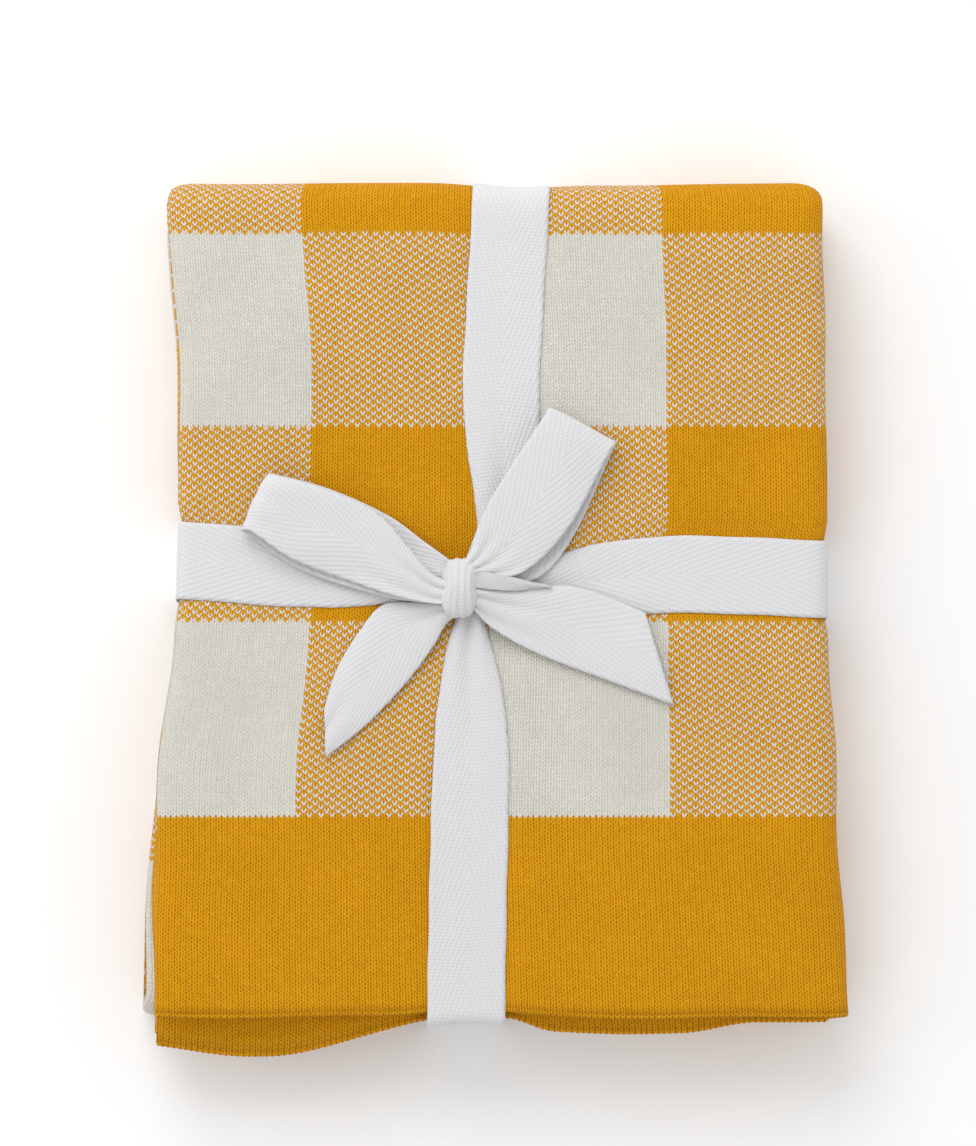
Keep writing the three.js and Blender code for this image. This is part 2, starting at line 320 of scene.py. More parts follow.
def lengthMap():
    zA, zD, zC, zB = blanket["leafMiddle"]
    yH, yB, yF = blanket["hemY"], blanket["backY"], blanket["frontY"]
    leafHalf = 1.5 * blanket["pitch"] + blanket["cloth"] / 2
    outer, inner, front = (zA - zB) / 2, (zD - zC) / 2, (zC - zB) / 2
    tO, sO = arcTable(lambda t: tuple((outer + leafHalf) * c for c in squircle(t)), math.pi / 2, -math.pi / 2)
    frontArc = math.pi * (front + leafHalf)
    innerArc = math.pi * inner
    marks = np.cumsum([0, yB - yH, sO[-1], yB - yF, frontArc, yB - yF, innerArc, yB - yH + 2.0])

    def place(v, z1):
        y = np.zeros_like(v)
        z = np.zeros_like(v)
        on = v <= marks[1]
        y[on] = yH + v[on]
        z[on] = zA + z1[on]
        on = (v > marks[1]) & (v <= marks[2])
        cx, cz = squircle(np.interp(v[on] - marks[1], sO, tO))
        y[on] = yB + (outer + z1[on]) * cx
        z[on] = (zA + zB) / 2 + (outer + z1[on]) * cz
        on = (v > marks[2]) & (v <= marks[3])
        y[on] = yB - (v[on] - marks[2])
        z[on] = zB - z1[on]
        on = (v > marks[3]) & (v <= marks[4])
        t = -math.pi / 2 - (v[on] - marks[3]) / frontArc * math.pi
        y[on] = yF + (front + z1[on]) * np.cos(t)
        z[on] = (zB + zC) / 2 + (front + z1[on]) * np.sin(t)
        on = (v > marks[4]) & (v <= marks[5])
        y[on] = yF + (v[on] - marks[4])
        z[on] = zC + z1[on]
        on = (v > marks[5]) & (v <= marks[6])
        t = -math.pi / 2 + (v[on] - marks[5]) / innerArc * math.pi
        y[on] = yB + (inner - z1[on]) * np.cos(t)
        z[on] = (zC + zD) / 2 + (inner - z1[on]) * np.sin(t)
        on = v > marks[6]
        y[on] = yB - (v[on] - marks[6])
        z[on] = zD - z1[on]
        return y, z

    counts = [84, 16, 28, 12, 28, 8, 44]
    lines = np.concatenate([
        np.linspace(marks[k], marks[k + 1], counts[k], endpoint=False) for k in range(7)
    ] + [[marks[7]]])
    return place, lines, marks


placeWidth, uLines, uStops = widthMap()
placeLength, vLines, vMarks = lengthMap()
clothWidth = float(uLines[-1] - uLines[0])
clothLength = float(vMarks[-1])
print("cloth measures", round(clothWidth), "by", round(clothLength), "mm along its folds")


def endSlip(u, v):
    # each layer of cloth stops at a slightly different place at the two ends
    rank = np.where(u > uStops["innerStart"], 0.5, 0.8)
    rank = np.where(u > uStops["leftEnd"], 0.0, rank)
    rank = np.where(u > uStops["rightEnd"], 1.0, rank)
    first = smooth(-v, -50, 0) * 1.1 * rank
    last = smooth(v, vMarks[-1] - 50, vMarks[-1]) * 3.2 * (1 - rank)
    return first + last


def foldPoints(u, v, w):
    x, z1 = placeWidth(u, w)
    y, z = placeLength(v, z1)
    flap = smooth(v, vMarks[-1] - 75, vMarks[-1] - 4)
    f = flapShape
    bulge = smooth(x, f["from"], f["full"]) * (1 - 0.30 * smooth(-x, 66, 98))
    lip = f["secondLip"] * smooth(x, 2, 14) * (1 - smooth(x, 48, 68))
    y = y + endSlip(u, v) - flap * (f["reach"] * bulge + lip)
    points = settle(np.stack([x, y, z], axis=1))
    out = smooth(v, vMarks[-1] - 16, vMarks[-1])
    points[:, 2] -= f["droop"] * out * bulge
    return points


def makeMesh(name, points, faces, material, uvs=None, bakeUvs=None, soft=True):
    mesh = bpy.data.meshes.new(name)
    mesh.from_pydata((np.asarray(points) * mm).tolist(), [], [tuple(map(int, f)) for f in faces])
    if uvs is not None:
        index = np.zeros(len(mesh.loops), dtype=int)
        mesh.loops.foreach_get("vertex_index", index)
        layer = mesh.uv_layers.new(name="cloth")
        layer.data.foreach_set("uv", (np.asarray(uvs)[index] * mm).astype(np.float32).ravel())
        if bakeUvs is not None:
            bake = mesh.uv_layers.new(name="OFBake")
            bake.data.foreach_set("uv", np.asarray(bakeUvs)[index].astype(np.float32).ravel())
    mesh.update()
    mesh.polygons.foreach_set("use_smooth", [soft] * len(mesh.polygons))
    obj = bpy.data.objects.new(name, mesh)
    bpy.context.scene.collection.objects.link(obj)
    mesh.materials.append(material)
    return obj


def thickGrid(rows, columns, frontPoints, backPoints):
    # two grids of the same layout, joined round the rim into one closed mesh
    count = rows * columns
    a = np.arange(count).reshape(rows, columns)
    quads = np.stack([a[:-1, :-1], a[:-1, 1:], a[1:, 1:], a[1:, :-1]], axis=-1).reshape(-1, 4)
    back = quads[:, ::-1] + count
    rim = np.concatenate([a[0, :], a[1:, -1], a[-1, -2::-1], a[-2:0:-1, 0]])
    following = np.roll(rim, -1)
    sides = np.stack([following, rim, rim + count, following + count], axis=1)
    return np.concatenate([frontPoints, backPoints]), np.concatenate([quads, back, sides])


# shader helpers: a small set of calls that add and join Math nodes
class Graph:
    def __init__(self, tree):
        self.tree = tree

    def link(self, value, socket):
        if isinstance(value, (int, float)):
            socket.default_value = value
        elif isinstance(value, tuple):
            socket.default_value = value
        else:
            self.tree.links.new(value, socket)

    def maths(self, operation, *values, clamp=False):
        node = self.tree.nodes.new("ShaderNodeMath")
        node.operation = operation
        node.use_clamp = clamp
        for socket, value in zip(node.inputs, values):
            self.link(value, socket)
        return node.outputs[0]

    def add(self, a, b):
        return self.maths("ADD", a, b)

    def sub(self, a, b):
        return self.maths("SUBTRACT", a, b)

    def mul(self, a, b):
        return self.maths("MULTIPLY", a, b)

    def step(self, value, low, high):
        node = self.tree.nodes.new("ShaderNodeMapRange")
        node.interpolation_type = "SMOOTHSTEP"
        self.link(value, node.inputs["Value"])
        node.inputs["From Min"].default_value = low
        node.inputs["From Max"].default_value = high
        return node.outputs["Result"]

    def mix(self, factor, a, b, blend="MIX"):
        node = self.tree.nodes.new("ShaderNodeMix")
        node.data_type = "RGBA"
        node.blend_type = blend
        self.link(factor, node.inputs[0])
        self.link(a, node.inputs[6])
        self.link(b, node.inputs[7])
        return node.outputs[2]

    def noise(self, vector, scale, detail=2.0):
        node = self.tree.nodes.new("ShaderNodeTexNoise")
        self.link(vector, node.inputs["Vector"])
        node.inputs["Scale"].default_value = scale
        node.inputs["Detail"].default_value = detail
        return node.outputs["Fac"]

    def vector(self, x, y, z=0.0):
        node = self.tree.nodes.new("ShaderNodeCombineXYZ")
        for socket, value in zip(node.inputs, (x, y, z)):
            self.link(value, socket)
        return node.outputs[0]

    def split(self, vector):
        node = self.tree.nodes.new("ShaderNodeSeparateXYZ")
        self.tree.links.new(vector, node.inputs[0])
        return node.outputs[0], node.outputs[1]


def newGroup(name, takes, gives):
    tree = bpy.data.node_groups.new(name, "ShaderNodeTree")
    for label, kind, value in takes:
        socket = tree.interface.new_socket(name=label, in_out="INPUT", socket_type=kind)
        if value is not None:
            socket.default_value = value
    for label, kind in gives:
        tree.interface.new_socket(name=label, in_out="OUTPUT", socket_type=kind)
    source = tree.nodes.new("NodeGroupInput")
    target = tree.nodes.new("NodeGroupOutput")
    return tree, Graph(tree), source.outputs, target.inputs


knit = {
    "wale": 1.535,  # width of one column of stitches
    "course": 1.108,  # height of one row of stitches
    "lean": 0.88,  # how far each leg of a stitch rises, in rows
    "checkWales": 33,
    "firstWale": 25,  # the first check ends this many columns from the left fold
    "checkCourses": 50,
    "borderCourses": 50,
    "mustard": (0.785, 0.370, 0.004, 1),
    # the second colour of each yarn is painted shade, mixed in where the stitches leave gaps and holes
    "mustardDeep": (0.420, 0.110, 0.001, 1),
    "cream": (0.782, 0.757, 0.680, 1),
    "creamDeep": (0.560, 0.538, 0.480, 1),
    "relief": 0.00024,
}
weave = {
    "rib": 1.36,
    "slant": 21.0,
    "pick": 1.0,
    "white": (0.705, 0.705, 0.722, 1),
    "shade": (0.46, 0.46, 0.48, 1),
    "relief": 0.00012,
}


def makeStitchGroup():
    # one V of the knit: where it is, which stitch it belongs to and how high the yarn stands
    tree, g, given, out = newGroup(
        "knitStitch",
        [("Across", "NodeSocketFloat", 0.0), ("Along", "NodeSocketFloat", 0.0),
         ("Lean", "NodeSocketFloat", 0.85)],
        [("Height", "NodeSocketFloat"), ("Wale", "NodeSocketFloat"), ("Course", "NodeSocketFloat"),
         ("Leg", "NodeSocketFloat"), ("Gap", "NodeSocketFloat"), ("Dot", "NodeSocketFloat"),
         ("Border", "NodeSocketFloat")],
    )
    across, along, lean = given[0], given[1], given[2]
    place = g.vector(across, along)
    jitter = g.mul(g.sub(g.noise(place, 0.8, 2.0), 0.5), 0.75)
    u = g.add(across, g.mul(g.sub(g.noise(g.vector(along, across), 0.5, 1.0), 0.5), 0.35))
    wale = g.maths("FLOOR", u)
    a = g.maths("ABSOLUTE", g.mul(g.sub(g.maths("FRACT", u), 0.5), 2.0))
    rounded = g.maths("POWER", a, 1.3)
    q = g.add(g.sub(along, g.mul(lean, rounded)), jitter)
    course = g.maths("FLOOR", q)
    f = g.maths("FRACT", q)
    ridge = g.maths("SINE", g.mul(f, math.pi))
    side = g.sub(1.0, g.maths("POWER", g.maths("ABSOLUTE", g.sub(g.mul(a, 2.0), 1.0)), 3.0))
    height = g.mul(g.maths("POWER", ridge, 0.7), g.maths("MAXIMUM", side, 0.0))
    gap = g.step(height, 0.42, 0.08)
    leg = g.mul(g.step(ridge, 0.12, 0.58), g.step(side, 0.0, 0.30))
    # the small dark holes: down the middle of each column, and half a row away between the columns
    moved = g.add(along, jitter)
    middleHole = g.mul(g.step(a, 0.42, 0.12), g.step(g.maths("COSINE", g.mul(moved, math.tau)), 0.05, 0.85))
    halfRow = g.maths("COSINE", g.mul(g.add(moved, 0.5), math.tau))
    sideHole = g.mul(g.step(a, 0.62, 0.92), g.step(halfRow, 0.05, 0.85))
    uneven = g.step(g.noise(place, 0.55, 2.0), 0.30, 0.62)
    dot = g.mul(g.maths("MAXIMUM", middleHole, sideHole), g.add(0.35, g.mul(uneven, 0.65)))
    border = g.step(a, 0.55, 0.95)
    height = g.maths("MAXIMUM", g.sub(height, g.mul(dot, 0.6)), 0.0)
    for name, value in (("Height", height), ("Wale", wale), ("Course", course), ("Leg", leg), ("Gap", gap),
            ("Dot", dot), ("Border", border)):
        tree.links.new(value, out[name])
    return tree


def makeYarnGroup():
    # uneven dyeing, loose fibres and handling marks that every yarn shares, and painted shade: the colour is
    # mixed towards its shade colour by the amount given
    tree, g, given, out = newGroup(
        "yarnToneAndShade",
        [("Place", "NodeSocketVector", None), ("Colour", "NodeSocketColor", (1, 1, 1, 1)),
         ("Deep", "NodeSocketColor", (0.5, 0.5, 0.5, 1)), ("Depth", "NodeSocketFloat", 0.0),
         ("Fine", "NodeSocketFloat", 0.12), ("Broad", "NodeSocketFloat", 0.10)],
        [("Colour", "NodeSocketColor"), ("Roughness", "NodeSocketFloat"), ("Fibre", "NodeSocketFloat")],
    )
    place, colour, shadeColour, depth, fine, broad = (given[k] for k in range(6))
    small = g.noise(place, 1400.0, 3.0)
    large = g.noise(place, 42.0, 3.0)
    middle = g.noise(place, 260.0, 2.0)
    # painted shade: the colour is mixed towards the shade colour by depth
    shade = g.mix(depth, colour, shadeColour)
    fineLevel = g.mul(g.sub(small, 0.5), g.mul(fine, 2.0))
    broadLevel = g.mul(g.sub(large, 0.5), g.mul(broad, 2.0))
    level = g.add(1.0, g.add(fineLevel, broadLevel))
    level = g.add(level, g.mul(g.sub(middle, 0.5), broad))
    tinted = g.mix(1.0, shade, g.vector(level, level, level), "MULTIPLY")
    tree.links.new(tinted, out["Colour"])
    tree.links.new(g.add(0.78, g.mul(small, 0.2)), out["Roughness"])
    tree.links.new(small, out["Fibre"])
    return tree


def makeTwillGroup():
    tree, g, given, out = newGroup(
        "herringboneTwill",
        [("Across", "NodeSocketFloat", 0.0), ("Along", "NodeSocketFloat", 0.0)],
        [("Height", "NodeSocketFloat"), ("Gap", "NodeSocketFloat"), ("Edge", "NodeSocketFloat")],
    )
    across, along = given[0], given[1]
    slant = math.radians(weave["slant"])
    side = g.maths("ABSOLUTE", across)
    wobble = g.mul(g.sub(g.noise(g.vector(across, along), 0.35, 1.0), 0.5), 0.5)
    acrossRibs = g.add(g.mul(side, math.cos(slant)), g.mul(along, -math.sin(slant)))
    rib = g.mul(g.add(acrossRibs, wobble), math.tau / weave["rib"])
    pick = g.mul(g.add(along, g.mul(side, 0.12)), math.tau / weave["pick"])
    ribHeight = g.add(0.5, g.mul(g.maths("SINE", rib), 0.5))
    pickHeight = g.add(0.5, g.mul(g.maths("SINE", pick), 0.5))
    height = g.add(g.mul(ribHeight, 0.62), g.mul(pickHeight, 0.38))
    gap = g.step(height, 0.42, 0.10)
    edge = g.step(side, tape["width"] / 2 - 1.4, tape["width"] / 2 - 0.7)
    tree.links.new(height, out["Height"])
    tree.links.new(gap, out["Gap"])
    tree.links.new(edge, out["Edge"])
    return tree


stitchGroup = makeStitchGroup()
yarnGroup = makeYarnGroup()
twillGroup = makeTwillGroup()


def useGroup(tree, group, **values):
    node = tree.nodes.new("ShaderNodeGroup")
    node.node_tree = group
    for name, value in values.items():
        socket = node.inputs[name]
        if isinstance(value, (int, float, tuple)):
            socket.default_value = value
        else:
            tree.links.new(value, socket)
    return node


def startMaterial(name, roughness, sheen):
    material = bpy.data.materials.new(name)
    material.use_nodes = True
    tree = material.node_tree
    shader = tree.nodes["Principled BSDF"]
    shader.inputs["Roughness"].default_value = roughness
    shader.inputs["Sheen Weight"].default_value = sheen
    shader.inputs["Sheen Roughness"].default_value = 0.5
    shader.inputs["Specular IOR Level"].default_value = 0.12
    flat = tree.nodes.new("ShaderNodeUVMap")
    flat.uv_map = "cloth"
    return material, tree, Graph(tree), shader, flat.outputs["UV"]


def addBump(tree, shader, height, distance, strength=1.0):
    bump = tree.nodes.new("ShaderNodeBump")
    bump.inputs["Distance"].default_value = distance
    bump.inputs["Strength"].default_value = strength
    tree.links.new(height, bump.inputs["Height"])
    tree.links.new(bump.outputs["Normal"], shader.inputs["Normal"])


def knitMaterial(name, solid=False):
    material, tree, g, shader, flat = startMaterial(name, 0.85, 0.03)
    x, y = g.split(flat)
    across = g.mul(x, 1000 / knit["wale"])
    along = g.mul(y, 1000 / knit["course"])
    stitch = useGroup(tree, stitchGroup, Across=across, Along=along, Lean=knit["lean"])
    wale, course = stitch.outputs["Wale"], stitch.outputs["Course"]
    # painted shade: the gaps between legs, the holes, the borders between columns and the ribs near the hems
    # are darkened towards the shade colours
    nearHem = g.maths("MAXIMUM", g.step(along, 3.4, 1.6), g.step(along, clothLength / knit["course"] - 3.4,
        clothLength / knit["course"] - 1.6))
    dark = g.add(g.mul(stitch.outputs["Gap"], 0.22), g.mul(stitch.outputs["Dot"], 0.85))
    dark = g.add(dark, g.mul(stitch.outputs["Border"], 0.24))
    dark = g.maths("MAXIMUM", dark, g.mul(nearHem, g.mul(stitch.outputs["Border"], 0.6)), clamp=True)
    if solid:
        ground, shade = knit["mustard"], knit["mustardDeep"]
    else:
        column = g.maths("MODULO", g.add(g.maths("FLOOR", g.mul(g.sub(wale, knit["firstWale"]),
            1 / knit["checkWales"])), 101.0), 2.0)
        row = g.maths("MODULO", g.add(g.maths("FLOOR", g.mul(g.sub(course, knit["borderCourses"]),
            1 / knit["checkCourses"])), 100.0), 2.0)
        border = g.maths("LESS_THAN", course, knit["borderCourses"] - 0.5)
        lastCourse = round(clothLength / knit["course"]) - knit["borderCourses"]
        border = g.maths("MAXIMUM", border, g.maths("GREATER_THAN", course, lastCourse + 0.5))
        darks = g.add(column, row)
        every = g.maths("MODULO", g.add(g.add(wale, course), 2000.0), 2.0)
        mixed = g.maths("COMPARE", darks, 1.0, 0.2)
        pale = g.maths("LESS_THAN", darks, 0.5)
        speck = g.mul(g.mul(g.mul(mixed, every), stitch.outputs["Leg"]), 0.93)
        paleness = g.maths("MULTIPLY", g.maths("MAXIMUM", pale, speck), g.sub(1.0, border), clamp=True)
        ends = [-uStops["selvedgeLower"] / knit["wale"], uStops["selvedgeUpper"] / knit["wale"]]
        nearLower = g.maths("LESS_THAN", across, -ends[0] + 1.2)
        nearUpper = g.maths("GREATER_THAN", across, ends[1] - 1.2)
        nearEdge = g.maths("MAXIMUM", nearLower, nearUpper)
        dash = g.maths("LESS_THAN", g.maths("FRACT", g.mul(along, 0.25)), 0.55)
        paleness = g.mul(paleness, g.sub(1.0, g.mul(nearEdge, dash)))
        ground = g.mix(paleness, knit["mustard"], knit["cream"])
        shade = g.mix(paleness, knit["mustardDeep"], knit["creamDeep"])
    yarn = useGroup(tree, yarnGroup, Place=flat, Colour=ground, Deep=shade, Depth=dark, Fine=0.16, Broad=0.09)
    tree.links.new(yarn.outputs["Colour"], shader.inputs["Base Color"])
    tree.links.new(yarn.outputs["Roughness"], shader.inputs["Roughness"])
    height = g.add(stitch.outputs["Height"], g.mul(yarn.outputs["Fibre"], 0.25))
    addBump(tree, shader, height, knit["relief"])
    return material


def tapeMaterial():
    material, tree, g, shader, flat = startMaterial("cottonTwill", 0.8, 0.05)
    x, y = g.split(flat)
    twill = useGroup(tree, twillGroup, Across=g.mul(x, 1000.0), Along=g.mul(y, 1000.0))
    # painted shade: the gaps between the twill ribs are darkened towards the shade colour, less so at the
    # edges
    depth = g.mul(g.mul(twill.outputs["Gap"], g.sub(1.0, g.mul(twill.outputs["Edge"], 0.6))), 0.24)
    yarn = useGroup(tree, yarnGroup, Place=flat, Colour=weave["white"], Deep=weave["shade"], Depth=depth,
        Fine=0.05, Broad=0.02)
    tree.links.new(yarn.outputs["Colour"], shader.inputs["Base Color"])
    tree.links.new(yarn.outputs["Roughness"], shader.inputs["Roughness"])
    addBump(tree, shader, twill.outputs["Height"], weave["relief"])
    return material


knitCloth = knitMaterial("checkKnit")
knitEdge = knitMaterial("borderKnit", solid=True)
twillTape = tapeMaterial()
print("materials ready")

# the blanket, one closed sheet
uGrid, vGrid = np.meshgrid(uLines, vLines)
half = blanket["cloth"] / 2
faceSide = foldPoints(uGrid.ravel(), vGrid.ravel(), np.full(uGrid.size, half))
innerSide = foldPoints(uGrid.ravel(), vGrid.ravel(), np.full(uGrid.size, -half))
points, faces = thickGrid(len(vLines), len(uLines), faceSide, innerSide)
flatPlaces = np.stack([uGrid.ravel(), vGrid.ravel()], axis=1)
spot = np.stack([(uGrid.ravel() - uLines[0]) / clothWidth, vGrid.ravel() / clothLength], axis=1)
bakeFace = spot * (0.49, 0.98) + (0.005, 0.01)
bakeInner = spot * (0.49, 0.98) + (0.505, 0.01)
bakePlaces = np.concatenate([bakeFace, bakeInner])
throw = makeMesh("blanket", points, faces, knitCloth, np.tile(flatPlaces, (2, 1)), bakePlaces)
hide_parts("top_leaf", "second_leaf", "third_leaf", "bottom_leaf", "top_border", "second_border",
    "back_outer_fold", "back_inner_fold", "front_fold")
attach(throw, "tied_throw")
print("blanket:", len(faces), "faces")

# hems, rolled along the two ends of the cloth
edging = {
    "hemRadius": 0.95,
    "hemOut": -0.1,
    "hemRib": 0.13,
    "sides": 7,
    "inside": 2.0,  # how far in from the end the direction of the cloth is taken
    "turn": 3.3,
}


def rolledEdge(name, line, outward, radius, ribEvery, rib, along, slotName, *nodes):
    # a roll round the line, its ribs standing out once for every stitch
    tangent = np.gradient(line, axis=0)
    tangent /= np.linalg.norm(tangent, axis=1, keepdims=True)
    outward = outward - tangent * (outward * tangent).sum(axis=1, keepdims=True)
    outward /= np.linalg.norm(outward, axis=1, keepdims=True)
    upward = np.cross(tangent, outward)
    sides = edging["sides"]
    ring = np.linspace(0, math.tau, sides, endpoint=False)
    phase = along / ribEvery * math.tau
    swell = radius + rib * np.cos(phase)
    p = (line[:, None, :] + outward[:, None, :] * (np.cos(ring)[None, :] * swell[:, None])[:, :, None]
        + upward[:, None, :] * (np.sin(ring)[None, :] * swell[:, None])[:, :, None]).reshape(-1, 3)
    count = len(line)
    faces = []
    for i in range(count - 1):
        for j in range(sides):
            k = (j + 1) % sides
            faces.append((i * sides + j, i * sides + k, (i + 1) * sides + k, (i + 1) * sides + j))
    faces.append(tuple(range(sides - 1, -1, -1)))
    faces.append(tuple((count - 1) * sides + j for j in range(sides)))
    uv = np.stack([np.repeat(along, sides), np.tile(ring / math.tau * edging["turn"], count)], axis=1)
    obj = makeMesh(name, p, faces, knitEdge, uv)
    if nodes:
        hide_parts(*nodes)
    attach(obj, "tied_throw")
    return obj


def hemAlong(name, vEnd, inward, *nodes):
    step = knit["wale"] / 4
    u = np.arange(uLines[0], uLines[-1], step)
    v = np.full_like(u, vEnd)
    zero = np.zeros_like(u)
    edge = foldPoints(u, v, zero)
    inside = foldPoints(u, v + inward * edging["inside"], zero)
    out = edge - inside
    out /= np.linalg.norm(out, axis=1, keepdims=True)
    wobble = 0.12 * np.sin(u / 9.1) + 0.1 * np.sin(u / 23.0 + 1)
    line = edge + out * (edging["hemOut"] + wobble)[:, None]
    radius, rib = edging["hemRadius"], edging["hemRib"]
    return rolledEdge(name, line, out, radius, knit["wale"], rib, u, "knit_border", *nodes)


topHem = hemAlong("topHem", 0.0, 1, "top_hem")
secondHem = hemAlong("secondHem", clothLength, -1, "second_hem")
print("hems ready")


def gridNormals(grid):
    down = np.gradient(grid, axis=0)
    across = np.gradient(grid, axis=1)
    normal = np.cross(across, down)
    return normal / np.maximum(np.linalg.norm(normal, axis=2, keepdims=True), 1e-9)


def ribbonMesh(name, grid, across, along, slotName, body, *nodes):
    # a woven ribbon from a grid of middle points, given its thickness and its own flat places
    rows, columns = grid.shape[:2]
    normal = gridNormals(grid)
    thin = tape["thickness"] / 2 * (1 - 0.35 * np.linspace(-1, 1, columns) ** 8)[None, :, None]
    front = (grid + normal * thin).reshape(-1, 3)
    back = (grid - normal * thin).reshape(-1, 3)
    points, faces = thickGrid(rows, columns, front, back)
    flat = np.stack([across.ravel(), along.ravel()], axis=1)
    obj = makeMesh(name, points, faces[:, ::-1], twillTape, np.tile(flat, (2, 1)))
    if nodes:
        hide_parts(*nodes)
    if body:
        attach(obj, body)
    return obj


def pleats(t, width, count, depth):
    # the spare width goes into soft folds that run out of the knot
    spare = np.clip(1 - width / tape["width"], 0, 1)
    return depth * spare**0.8 * (0.5 - 0.5 * np.cos(t * math.tau * count + 0.3 * np.sin(t * 5))) ** 0.65


def cornered(points, radii, every=1.6):
    # a line through the points with its corners rounded
    path = [np.array(points[0], float)]
    for k in range(1, len(points) - 1):
        before, corner, after = (np.array(points[k + d], float) for d in (-1, 0, 1))
        inDir = (before - corner) / np.linalg.norm(before - corner)
        outDir = (after - corner) / np.linalg.norm(after - corner)
        start = corner + inDir * radii[k - 1]
        end = corner + outDir * radii[k - 1]
        for s in np.linspace(0, 1, 8):
            path.append((1 - s) ** 2 * start + 2 * s * (1 - s) * corner + s**2 * end)
    path.append(np.array(points[-1], float))
    path = np.array(path)
    length = np.concatenate([[0], np.cumsum(np.linalg.norm(np.diff(path, axis=0), axis=1))])
    s = np.linspace(0, length[-1], int(length[-1] / every))
    return np.stack([np.interp(s, length, path[:, k]) for k in range(path.shape[1])], axis=1), s


band = {
    "top": 31.95,
    "under": -0.28,
    "floorLevel": 0.32,  # middle of the tape above the floor
    "lap": 0.62,  # how much higher the length tape goes over the width tape
    "turnHalf": 13.0,
    "frontY": -116.6,
    "sideClear": 1.0,
    "frontCorner": 3.0,
    "underCorner": 6.0,
    "columns": 19,
    "edgeWobble": 0.10,
    "flutter": 0.12,
    "pleats": 2.0,
    "pleatDepth": 2.3,
    "crossing": (12.5, 20.0),  # from the middle of the other tape: fully raised, not raised
    "below": (1.5, 5.5),  # heights between which the tape turns in under the stack
}


def bandMesh(name, path, length, alongY, seed, *nodes):
    # path holds (place along the floor, height); the tape's middle line gives the other place
    columns = band["columns"]
    t = np.linspace(-1, 1, columns)
    place, high = path[:, 0], path[:, 1]
    knotX, knotY = tape["knotPlace"]
    distance = np.abs(place - (knotY if alongY else knotX)) + 60 * (high < 25)
    gatherPlaces, gatherWidths = zip(*tape["gather"])
    width = np.interp(distance, gatherPlaces, gatherWidths)
    middle = easedLine(tape["lengthLine"] if alongY else tape["widthLine"], place)
    tangent = np.gradient(path, axis=0)
    tangent /= np.linalg.norm(tangent, axis=1, keepdims=True)
    away = np.stack([-tangent[:, 1], tangent[:, 0]], axis=1)
    centre = np.array([0.0, 15.8])
    away *= np.sign(((path - centre) * away).sum(axis=1, keepdims=True) + 1e-9)
    edgeWobble = band["edgeWobble"] * np.sin(length / 3.7 + seed)[:, None] * t[None, :] ** 2
    offset = width[:, None] / 2 * t[None, :] + edgeWobble
    fold = pleats((t[None, :] + 1) / 2, width[:, None], band["pleats"], band["pleatDepth"])
    flutter = ripple(length[:, None] + 0 * t[None, :], offset, seed, 30) * (np.abs(t[None, :]) ** 2)
    lift = fold + band["flutter"] * flutter
    grid = np.zeros((len(path), columns, 3))
    along = place[:, None] + lift * away[:, 0:1]
    upward = high[:, None] + lift * away[:, 1:2]
    side = middle[:, None] + offset
    grid[:, :, 2] = upward
    if alongY:
        grid[:, :, 0] = side
        grid[:, :, 1] = along
    else:
        grid[:, :, 0] = along
        grid[:, :, 1] = side
    flatX = grid[:, :, 0] - blanket["waistCentre"]
    ideal = np.stack([flatX, grid[:, :, 1], upward], axis=2).reshape(-1, 3)
    settled = settle(ideal).reshape(grid.shape)
    if alongY:
        settled[:, :, 0] = grid[:, :, 0]
    # below the stack the tape lies on the floor, the length tape over the width tape where they cross
    below = 1 - smooth(upward, *band["below"])
    level = np.full(upward.shape, band["floorLevel"])
    if alongY:
        fromOther = np.abs(acrossWidthBand(grid[:, :, 0], grid[:, :, 1]))
        level += band["lap"] * (1 - smooth(fromOther, *band["crossing"]))
    settled[:, :, 2] = settled[:, :, 2] * (1 - below) + level * below
    across = np.repeat(t[None, :] * tape["width"] / 2, len(path), axis=0)
    lengths = np.repeat(length[:, None], columns, axis=1)
    return ribbonMesh(name, settled, across, lengths, "twill_tape", "tied_throw", *nodes)


turnPlace = (-5.0, 12.5)
backArc = np.linspace(math.pi / 2, -math.pi / 2, 40)
cx, cz = squircle(backArc)
backRadius = 16.12
zMiddle = (blanket["leafMiddle"][0] + blanket["leafMiddle"][3]) / 2
backLine = [(tape["knotPlace"][1] + 3, band["top"])]
backLine += [(blanket["backY"] + backRadius * a, zMiddle + backRadius * b) for a, b in zip(cx, cz)]
backLine += [(turnPlace[1], band["under"])]
backPath, backLength = cornered(backLine, [0.01] * (len(backLine) - 2), 1.6)
bandMesh("bandBack", backPath, backLength, True, 1, "band_back")
frontPath, frontLength = cornered(
    [(tape["knotPlace"][1] - 5, band["top"]), (band["frontY"], band["top"]), (band["frontY"], band["under"]),
        (turnPlace[1], band["under"])], [band["frontCorner"], band["underCorner"]])
bandMesh("bandFront", frontPath, frontLength, True, 2, "band_front")
leftX = -blanket["waist"] / 2 + blanket["waistCentre"] - band["sideClear"]
rightX = blanket["waist"] / 2 + blanket["waistCentre"] + band["sideClear"]
turnLeft = turnPlace[0] - band["turnHalf"]
turnRight = turnPlace[0] + band["turnHalf"]
leftPath, leftLength = cornered(
    [(tape["knotPlace"][0] - 3, band["top"]), (leftX, band["top"]), (leftX, band["under"]),
        (turnLeft, band["under"])], [3.0, 4.0])
bandMesh("bandLeft", leftPath, leftLength, False, 3, "band_left")
rightPath, rightLength = cornered(
    [(tape["knotPlace"][0] + 3, band["top"]), (rightX, band["top"]), (rightX, band["under"]),
        (turnRight, band["under"])], [4.5, 4.5])
bandMesh("bandRight", rightPath, rightLength, False, 4, "band_right")
turnPath, turnLength = cornered(
    [(turnLeft, band["under"]), (turnPlace[0], band["under"]), (turnRight, band["under"])], [0.01])
bandMesh("undersideTurn", turnPath, turnLength, False, 3, "underside_turn")
print("bands ready")

